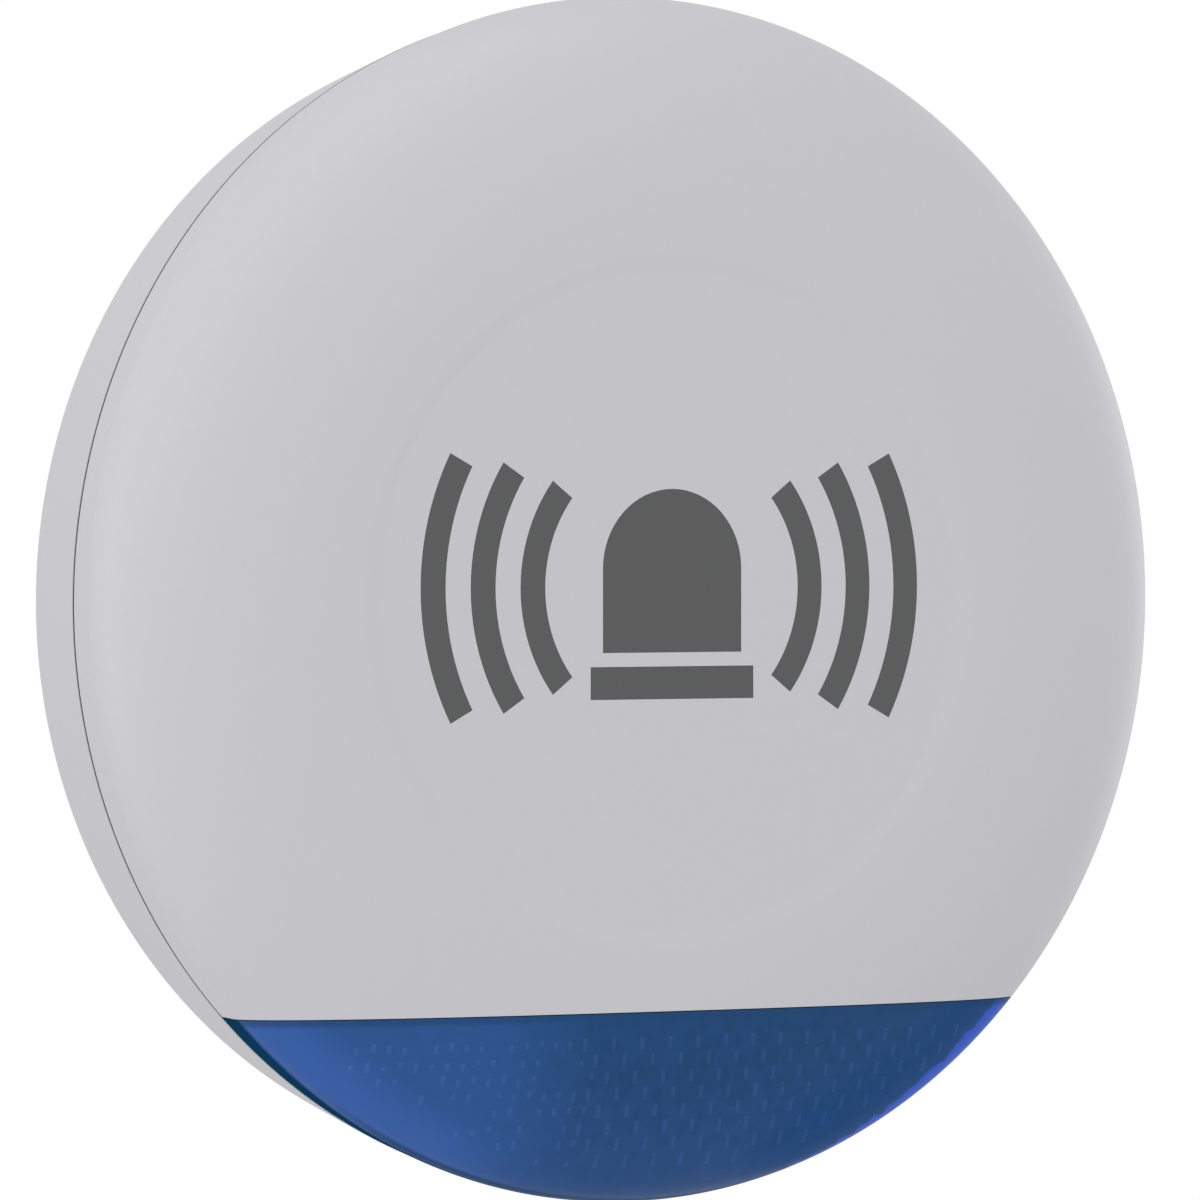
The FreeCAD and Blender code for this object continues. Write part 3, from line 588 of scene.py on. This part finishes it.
def make_cover_inside():
    """Flange, web, ribs, tamper post, tongue and hinge knuckle of the cover."""
    rear = SEAM_D + SEAM_GAP
    bm = bmesh.new()
    steps = TURN_STEPS // 2
    # the flange leaves out the hinge, 34 mm to each side of it
    gap = math.degrees(math.asin(34 / 124))
    first, last = 90 + gap, 450 - gap
    rows = []
    for i in range(steps + 1):
        a = math.radians(first + (last - first) * i / steps)
        row = []
        for r, d in ((122.9, rear), (126.3, rear), (126.6, 30.5), (122.9, 30.5)):
            row.append(bm.verts.new(at(r * math.cos(a), d, r * math.sin(a))))
        rows.append(row)
    for a, b in zip(rows, rows[1:]):
        for i in range(4):
            j = (i + 1) % 4
            bm.faces.new((a[i], a[j], b[j], b[i]))
    bm.faces.new(rows[0])
    bm.faces.new(rows[-1][::-1])
    for r in (40.0, 70.0):
        add_turned(bm, [(r, 51.0), (r + 1.4, 51.0), (r + 1.4, 55.0), (r, 55.0)], steps)
    for i in range(6):
        spoke = bmesh.new()
        add_block(spoke, 41, 92, 51.0, 54.8, -0.7, 0.7)
        spoke.transform(Matrix.Rotation(-math.radians(30 + 60 * i), 4, "Y"))
        mesh = bpy.data.meshes.new("spoke")
        spoke.to_mesh(mesh)
        spoke.free()
        if min(v.co.z for v in mesh.vertices) > CHORD_Z * MM:
            bm.from_mesh(mesh)
        bpy.data.meshes.remove(mesh)
    add_lathe(bm, at(24, 30.2, -63), (0, -1, 0), disc_profile(3.0, 0, 25.0, 0.3))
    for side in (-1, 1):
        x0, x1 = sorted((side * 2.5, side * 7.0))
        add_block(bm, x0, x1, 14.0, 21.6, -121.6, -118.6)
    add_block(bm, -7, 7, 21.5, 31.5, -121.6, -118.6)
    add_block(bm, -7, 7, rear, 31.5, -126.5, -121.5)
    inside = new_object("front_cover_ribs", bm)
    soften(inside, 0.2, 2)
    finish_piece(inside, "cover", "cover_plastic")
    web = cover_solid("front_cover_web", WALL - 0.2, rear)
    boolean(web, block_object("cut", [(-130, 130, WEB_REAR_D, 60, CHORD_Z, CHORD_Z + WEB)]),
            "INTERSECT")
    soften(web, 0.2, 2)
    finish_piece(web, "cover", "cover_plastic")
    bm = bmesh.new()
    add_lathe(bm, at(-COVER_KNUCKLE, HINGE_D, HINGE_Z), (1, 0, 0),
              tube_profile(KNUCKLE_R, COVER_BORE_R, 0, 2 * COVER_KNUCKLE))
    finish_piece(new_object("cover_knuckle", bm), "cover", "cover_plastic")


def make_emblem():
    """The beacon and sound waves, lying in their pockets just below the face."""
    mark = prisms("front_emblem_mark", emblem_outlines(), MARK_REAR_D, MARK_FRONT_D)
    soften(mark, 0.06, 2)
    set_smooth(mark, 30)
    finish_piece(mark, "cover", "mark_grey", ["front_emblem"])


# ---------------------------------------------------------------- the lens

def surface_depth(r):
    """Depth of the cover's outside at a radius."""
    points = sorted(p for p in cover_profile(0, SEAM_D) if p[1] >= SHOULDER_D)
    for (r0, d0), (r1, d1) in zip(points, points[1:]):
        if r0 <= r <= r1:
            return d0 + (d1 - d0) * (r - r0) / max(1e-9, r1 - r0)
    return points[0][1] if r < points[0][0] else points[-1][1]


def make_lens():
    """Blue lens skin, and the web that closes it along the chord."""
    top = CHORD_Z - LENS_GAP
    lens = cover_shell("strobe_lens_skin", LENS_WALL, SEAM_D + SEAM_GAP)
    boolean(lens, block_object("cut", [(-140, 140, 20, 70, -140, top)]), "INTERSECT")
    bm = bmesh.new()
    add_lathe(bm, at(0, 20, 0), (0, -1, 0), [(0, 0), (SKIRT_R, 0), (SKIRT_R, 12.2), (0, 12.2)], 360)
    boolean(lens, new_object("cut", bm), "DIFFERENCE")
    soften(lens, 0.45, 3, seam=(SEAM_D, SEAM_D + 1.0))
    set_smooth(lens, 30)
    finish_piece(lens, "cover", "lens_blue", ["strobe_lens"])
    web = cover_solid("strobe_lens_web", LENS_WALL - 0.2, SEAM_D)
    boolean(web, block_object("cut", [(-130, 130, WEB_REAR_D, 60, top - 2.0, top - 0.02)]),
            "INTERSECT")
    finish_piece(web, "cover", "lens_blue")


PRISM_PITCH, PRISM_ROW, PRISM_ROWS = 6.9, 3.65, 9
PRISM_FIRST_Z, PRISM_LIMIT_R = -94.6, 124.0
# Part of a pitch by which each row is shifted against the one above
PRISM_SHIFT = 0.42
PRISM_HALF_WIDTH, PRISM_HALF_HEIGHT = 0.5, 1.4
WHOLE_PRISMS, BROKEN_PRISMS = range(-3, 17), range(-32, -6)
# The broken prisms: share kept, shift up or down, and least and greatest half height
BROKEN_KEPT, BROKEN_SHIFT, BROKEN_HALF_HEIGHT = 0.75, 0.5, (0.45, 1.1)


def add_prism_end(bm, mid_x, mid_z, half):
    """Adds one low upright bar with sloping rims, lying on the lens surface."""
    rings = []
    for inset, lift in ((0.0, -0.25), (0.0, 0.0), (0.16, 0.07)):
        ring = []
        for side, up in ((-1, -1), (1, -1), (1, 1), (-1, 1)):
            x = mid_x + side * (PRISM_HALF_WIDTH - inset)
            z = mid_z + up * (half - inset)
            ring.append(bm.verts.new(at(x, surface_depth(math.hypot(x, z)) + lift, z)))
        rings.append(ring)
    for a, b in zip(rings, rings[1:]):
        for i in range(4):
            j = (i + 1) % 4
            bm.faces.new((a[i], a[j], b[j], b[i]))
    bm.faces.new(rings[0][::-1])
    bm.faces.new(rings[-1])


def make_prisms():
    """Staggered upright prism ends, following the lens surface, broken up towards the left; their
    paler blue is a painted glint of the lens's optics.
    """
    bm = bmesh.new()
    chance = random.Random(4)
    for row in range(PRISM_ROWS):
        z = PRISM_FIRST_Z - PRISM_ROW * row
        shift = (row * PRISM_SHIFT % 1.0) * PRISM_PITCH
        whole = [(i * PRISM_PITCH + shift, z, PRISM_HALF_HEIGHT) for i in WHOLE_PRISMS]
        broken = [(i * PRISM_PITCH / 2 + shift, z + chance.uniform(-BROKEN_SHIFT, BROKEN_SHIFT),
                   chance.uniform(*BROKEN_HALF_HEIGHT))
                  for i in BROKEN_PRISMS if chance.random() < BROKEN_KEPT]
        for mid_x, mid_z, half in broken + whole:
            if math.hypot(mid_x, mid_z) + half > PRISM_LIMIT_R:
                continue
            if mid_z + half > PRISM_FIRST_Z + PRISM_HALF_HEIGHT:
                continue
            add_prism_end(bm, mid_x, mid_z, half)
    ends = new_object("strobe_lens_prisms", bm, 60)
    # The prism ends' paler blue is a painted glint
    finish_piece(ends, "cover", "lens_blue", material="lens_dash")


# ---------------------------------------------------------------- the rear housing

def make_housing():
    """Tapered dish with sound slots, screw recess, cable hole and hinge notch."""
    rim = SEAM_D
    slope = (SEAM_R - BACK_R) / rim
    profile = [(0, 0.0), (BACK_R - 0.3, 0.0), (BACK_R - 0.08, 0.1), (BACK_R, 0.3)]
    for i in range(1, 9):
        d = 0.3 + (rim - 0.8) * i / 8
        profile.append((BACK_R + slope * d, d))
    profile += [(SEAM_R - 0.02, rim), (125.6, rim), (125.5, rim - 0.1),
                (125.5, 26.0), (123.3, 26.0), (123.3, rim - 0.1), (123.2, rim), (122.6, rim),
                (122.5, rim - 0.1), (122.5, 22.1), (122.6, 22.0), (124.85, 22.0),
                (121.7, BACK_WALL + 0.6), (121.0, BACK_WALL), (0, BACK_WALL)]
    bm = bmesh.new()
    add_turned(bm, profile)
    housing = new_object("rear_housing_dish", bm)
    spans = []
    for side in (-1, 1):
        for i in range(5):
            x = side * (14.0 + 7.0 * i)
            spans.append((x - 1.6, x + 1.6, 6.0, 17.0, -135.0, -105.0))
    spans.append((-32, 32, 23.9, 30, 116, 131))
    boolean(housing, block_object("cut", spans), "DIFFERENCE")
    bm = bmesh.new()
    for x, z, r in ((88, 55, 2.75), (-88, 55, 2.75), (88, -55, 2.75), (-88, -55, 2.75),
                    (0, -10, 8.0), (91, 0, 2.9)):
        add_lathe(bm, at(x, -1, z), (0, -1, 0), [(0, 0), (r, 0), (r, 6), (0, 6)], 64)
    add_lathe(bm, at(0, LATCH_D, -131), (0, 0, 1), [(0, 0), (4.2, 0), (4.2, 6.6), (2.06, 6.6),
                                                    (2.06, 11), (0, 11)], 64)
    boolean(housing, new_object("cut", bm), "DIFFERENCE")
    soften(housing, 0.25, seam=(SEAM_D - 2.5, SEAM_D + 0.2))
    set_smooth(housing, 30)
    even_normals(housing)
    finish_piece(housing, "housing", "housing_plastic", ["rear_housing"])


def horn_ear(angle):
    """Centre of one fixing ear of the horn."""
    a = math.radians(angle)
    return HORN_X + HORN_EAR_R * math.cos(a), HORN_Z + HORN_EAR_R * math.sin(a)


def make_housing_bosses():
    """Posts, clips, knuckles and blocks that stand in the housing."""
    bm = bmesh.new()
    for side in (-1, 1):
        for up in (-1, 1):
            add_lathe(bm, at(side * 88, 2.8, up * 55), (0, -1, 0),
                      tube_profile(7.0, 2.75, 0, 3.2, 0.4))
        add_lathe(bm, at(side * 50, 2.8, -98), (0, -1, 0), tube_profile(4.0, 1.2, 0, 27.2))
        x0, x1 = sorted((side * KNUCKLE_IN, side * KNUCKLE_OUT))
        add_lathe(bm, at(x0, HINGE_D, HINGE_Z), (1, 0, 0),
                  tube_profile(KNUCKLE_R, PIN_R, 0, KNUCKLE_OUT - KNUCKLE_IN))
        add_block(bm, x0, x1, 12.0, HINGE_D - 1.6, HINGE_Z - KNUCKLE_R, HINGE_Z + 0.4)
        add_block(bm, side * 16 - 2, side * 16 + 2, 2.8, 14.0, 98.6, 100.4)
        add_block(bm, side * 16 - 2, side * 16 + 2, 2.8, 14.0, 107.6, 109.4)
    for x, z in ((15, 1), (71, 1), (15, -69), (71, -69)):
        add_lathe(bm, at(x, 2.8, z), (0, -1, 0), tube_profile(3.5, 1.3, 0, 9.2))
    for angle in (90, 200, 340):
        x, z = horn_ear(angle)
        add_lathe(bm, at(x, 2.8, z), (0, -1, 0), tube_profile(3.5, 1.3, 0, 21.2))
    add_lathe(bm, at(0, LATCH_D, -124.4), (0, 0, 1), tube_profile(7.0, 2.06, 0, 2.1))
    add_block(bm, -5.5, -3.3, 2.8, 23.0, -117.8, -112.8)
    add_block(bm, 3.3, 5.5, 2.8, 23.0, -117.8, -112.8)
    add_block(bm, -3.4, 3.4, 2.8, 14.7, -117.8, -112.8)
    add_block(bm, -3.4, 3.4, 21.3, 23.0, -117.8, -112.8)
    bosses = new_object("rear_housing_bosses", bm)
    soften(bosses, 0.2, 2)
    finish_piece(bosses, "housing", "housing_plastic")


# ---------------------------------------------------------------- inside parts

CELL_R, CELL_LENGTH, CELL_D, CELL_FIRST = 17.1, 61.5, 22.0, -59.0
CELL_ROWS = ((37.5, 1), (72.5, -1))


def make_cells():
    """Four D cells: dark jacket with a pale stripe, pressed steel ends and a contact nub."""
    r = CELL_R
    jacket = [(16.2, 0.9), (16.6, 0.6), (r, 1.2), (r, 47.0), (r - 0.06, 47.0), (r - 0.06, 50.5),
              (r, 50.5), (r, 58.2), (16.6, 59.1), (15.6, 59.3), (15.6, 58.6), (16.2, 58.2)]
    stripe = [(r - 0.3, 46.8), (r - 0.03, 47.0), (r - 0.03, 50.5), (r - 0.3, 50.7)]
    ends = [(0, 0.35), (7.5, 0.35), (9.0, 0.0), (14.2, 0.0), (15.4, 0.3), (16.1, 1.0), (16.1, 58.4),
            (15.5, 59.0), (13.0, 59.2), (12.2, 59.8), (6.4, 59.9), (5.0, 60.1), (4.7, 60.5),
            (4.7, 61.1), (4.3, 61.45), (0, 61.48)]
    looks = (("battery_cells_jacket", jacket + jacket[:1], "cell_jacket", "cell_jacket"),
             ("battery_cells_stripe", stripe + stripe[:1], "cell_jacket", "cell_stripe"),
             ("battery_cells_ends", ends, "steel", "steel"))
    for name, profile, slot, material in looks:
        bm = bmesh.new()
        for z, way in CELL_ROWS:
            for i in range(2):
                start = at(way * (CELL_FIRST + CELL_LENGTH * i), CELL_D, z)
                add_lathe(bm, start, (way, 0, 0), profile, 96)
        nodes = ["battery_cells"] if name.endswith("jacket") else []
        finish_piece(new_object(name, bm, 25), "housing", slot, nodes, material)


def make_gasket_lip():
    """Lip of the gasket, closing the gap under the cover and lying over the housing's rim; black
    and reaching nearly to the outside, it also paints the seam line's shade.
    """
    bm = bmesh.new()
    add_turned(bm, [(124.0, 28.0), (125.3, 28.0), (125.45, 28.22), (128.4, 28.22), (128.45, 28.28),
                    (128.4, 28.36), (124.9, 28.36), (124.6, 28.45), (124.2, 28.45), (124.05, 28.3)])
    lip = new_object("perimeter_gasket_lip", bm)
    boolean(lip, block_object("cut", [(-34.5, 34.5, 20, 30, 100, 130)]), "DIFFERENCE")
    finish_piece(lip, "housing", "rubber_black")


# Blocks of a small soldered part: shift along it, half length, half width and height
CHIP_BODY = (0.0, 0.7, 0.5, 0.55)
CHIP_CAPS = ((-0.8, 0.32, 0.52, 0.6), (0.8, 0.32, 0.52, 0.6))


def add_chip_block(bm, x, z, upright, block):
    """Adds one block of a soldered part lying along x or, if upright, along z."""
    shift, half_x, half_z, height = block
    if upright:
        z, half_x, half_z = z + shift, half_z, half_x
    else:
        x += shift
    add_block(bm, x - half_x, x + half_x, BOARD_TOP, BOARD_TOP + height, z - half_z, z + half_z)


def make_board_parts():
    """Small soldered parts, chip legs and solder joints on the main board."""
    top = BOARD_TOP
    small = [(57.0 + 2.9 * i, -12.6 - 2.4 * j, False) for i in range(3) for j in range(2)]
    small += [(21.0 + 3.4 * i, -31.0, True) for i in range(5)]
    small += [(21.0 + 3.4 * i, -26.5, True) for i in range(5)]
    small += [(46.0 + 2.9 * i, -39.0, True) for i in range(3)]
    small += [(34.0 + 3.0 * i, -66.0, False) for i in range(5)]
    bodies, caps = bmesh.new(), bmesh.new()
    for x, z, upright in small:
        add_chip_block(bodies, x, z, upright, CHIP_BODY)
        for block in CHIP_CAPS:
            add_chip_block(caps, x, z, upright, block)
    for i in range(12):
        spot = -33.5 + 1.0 * i
        add_block(caps, 38.6, 40.2, top + 0.05, top + 0.4, spot - 0.22, spot + 0.22)
        add_block(caps, 51.8, 53.4, top + 0.05, top + 0.4, spot - 0.22, spot + 0.22)
    add_block(bodies, 30.0, 34.5, top, top + 1.4, -62.5, -57.5)
    add_block(bodies, 38.0, 44.0, top, top + 1.6, -61.5, -56.5)
    for z in (-62.4, -55.6):
        for i in range(4):
            spot = 39.1 + 1.27 * i
            add_block(caps, spot - 0.2, spot + 0.2, top + 0.05, top + 0.4, z - 0.9, z + 0.9)
    joint = [(0, 0), (1.5, 0), (1.1, 0.5), (0.75, 1.3), (0, 1.3)]
    for x, z in ((12.2, -9.5), (12.2, -6.5), (38.5, -71.0), (41.5, -71.0)):
        add_lathe(caps, at(x, top, z), (0, -1, 0), joint, 24)
    add_lathe(caps, at(64.0, top, -8.5), (0, -1, 0), disc_profile(2.4, 0, 3.6, 0.5), 40)
    chips = new_object("main_board_chips", bodies)
    soften(chips, 0.06, 2)
    finish_piece(chips, "housing", "black_plastic")
    joints = new_object("main_board_solder", caps)
    soften(joints, 0.06, 2)
    finish_piece(joints, "housing", "steel")


def make_horn_details():
    """Raised rings on the horn lid."""
    bm = bmesh.new()
    edge = 0.15
    for r, width, rise in ((30.6, 1.0, 0.55), (21.0, 0.8, 0.45), (7.5, 0.8, 0.45)):
        inner = r - width
        points = [(inner, 0), (r, 0), (r, rise - edge), (r - edge, rise), (inner + edge, rise),
                  (inner, rise - edge), (inner, 0)]
        add_lathe(bm, at(HORN_X, HORN_LID_D, HORN_Z), (0, -1, 0), points, 96)
    finish_piece(new_object("horn_cap_rings", bm), "housing", "black_plastic")


# Rounding in mm of the CAD parts that are shown as they are
ROUNDING = {
    "battery_tray": 0.5, "horn_body": 0.35, "horn_cap": 0.35, "terminal_block": 0.25,
    "main_board": 0.12, "led_board": 0.12, "radio_module": 0.2, "controller_chip": 0.12,
    "capacitors": 0.35, "transformer_core": 0.25, "transformer_coil": 0.5,
    "front_tamper_body": 0.3, "rear_tamper_body": 0.3, "button_body": 0.2,
    "power_switch_body": 0.25, "power_switch_knob": 0.2, "front_tamper_plunger": 0.25,
    "rear_tamper_plunger": 0.2, "button_cap": 0.2, "strobe_leds": 0.12, "cover_screw": 0.25,
    "lens_screws": 0.2, "horn_screws": 0.2, "main_board_screws": 0.2, "led_board_screws": 0.2,
    "terminal_screws": 0.12, "strobe_reflector": 0.15, "cable_grommet": 0.25,
}


def dress_cad_nodes():
    """Materials, smooth shading and rounded edges for the CAD parts that are still shown."""
    slots = {part["node"]: part["material_slot"] for part in frame["record"]["subparts"]}
    for name, obj in frame["nodes"].items():
        if obj.hide_render:
            continue
        obj.data.materials.clear()
        obj.data.materials.append(MATERIALS[slots[name]])
        set_smooth(obj, 32)
        if name in ROUNDING:
            soften(obj, ROUNDING[name], 2, 45)


# ---------------------------------------------------------------- scene

# Name, place in metres and power in watts
LIGHTS = (
    ("key", (-1.49, -2.23, 1.33), 8.6),
    ("top", (0.0, -1.5, 2.6), 11.6),
    ("left_front", (-2.85, -0.9, 0.0), 13.2),
    ("left_back", (-2.8, 0.9, 0.4), 3.1),
    ("right_side", (2.91, 0.72, 0.0), 9.4),
)
LIGHT_SIZE = 1.6
WORLD_STRENGTH = 0.82
FLOOR_Z, FLOOR_R, FLOOR_GREY = -0.75, 5.0, (0.8, 0.8, 0.8)


def make_light(name, spot, power):
    """A soft square light aimed at the siren."""
    data = bpy.data.lights.new(name, "AREA")
    data.size = LIGHT_SIZE
    data.energy = power
    lamp = bpy.data.objects.new(name, data)
    lamp.location = spot
    lamp.rotation_mode = "QUATERNION"
    lamp.rotation_quaternion = (-Vector(spot)).to_track_quat("-Z", "Y")
    bpy.context.scene.collection.objects.link(lamp)


def make_world():
    """White surroundings, which light the siren more dimly than they look."""
    world = bpy.data.worlds.new("studio")
    bpy.context.scene.world = world
    world.use_nodes = True
    tree = world.node_tree
    shader = tree.nodes["Background"]
    path = tree.nodes.new("ShaderNodeLightPath")
    strength = tree.nodes.new("ShaderNodeMapRange")
    strength.inputs["To Min"].default_value = WORLD_STRENGTH
    strength.inputs["To Max"].default_value = 1.0
    tree.links.new(path.outputs["Is Camera Ray"], strength.inputs["Value"])
    tree.links.new(strength.outputs["Result"], shader.inputs["Strength"])
    shader.inputs["Color"].default_value = (1, 1, 1, 1)


def make_floor():
    """Pale round floor well below the wall siren."""
    bm = bmesh.new()
    bmesh.ops.create_circle(bm, cap_ends=True, segments=96, radius=FLOOR_R,
                            matrix=Matrix.Translation((0, 0, FLOOR_Z)))
    floor = new_object("floor", bm)
    floor.data.materials.append(plastic("floor", FLOOR_GREY, 0.7, 0.0, 8.0, 0.01))


def make_camera():
    """Camera a little to the left of the siren, level with it."""
    data = bpy.data.cameras.new("camera")
    data.lens = 287.6
    data.sensor_width = 36.0
    azimuth, elevation, distance = math.radians(-28.959), math.radians(0.807), 2.1094
    target = Vector((0.01382, 0.0, -0.00059))
    level = math.cos(elevation)
    back = Vector((math.sin(azimuth) * level, -math.cos(azimuth) * level, math.sin(elevation)))
    camera = bpy.data.objects.new("camera", data)
    camera.location = target + back * distance
    camera.rotation_mode = "QUATERNION"
    camera.rotation_quaternion = (-back).to_track_quat("-Z", "Y")
    data.clip_start, data.clip_end = 0.1, 50
    bpy.context.scene.collection.objects.link(camera)
    bpy.context.scene.camera = camera


make_cover()
make_cover_inside()
make_emblem()
make_lens()
make_prisms()
make_housing()
make_housing_bosses()
make_cells()
make_gasket_lip()
make_board_parts()
make_horn_details()
dress_cad_nodes()
make_world()
make_floor()
for light in LIGHTS:
    make_light(*light)
make_camera()
bpy.context.scene.view_settings.view_transform = "Standard"
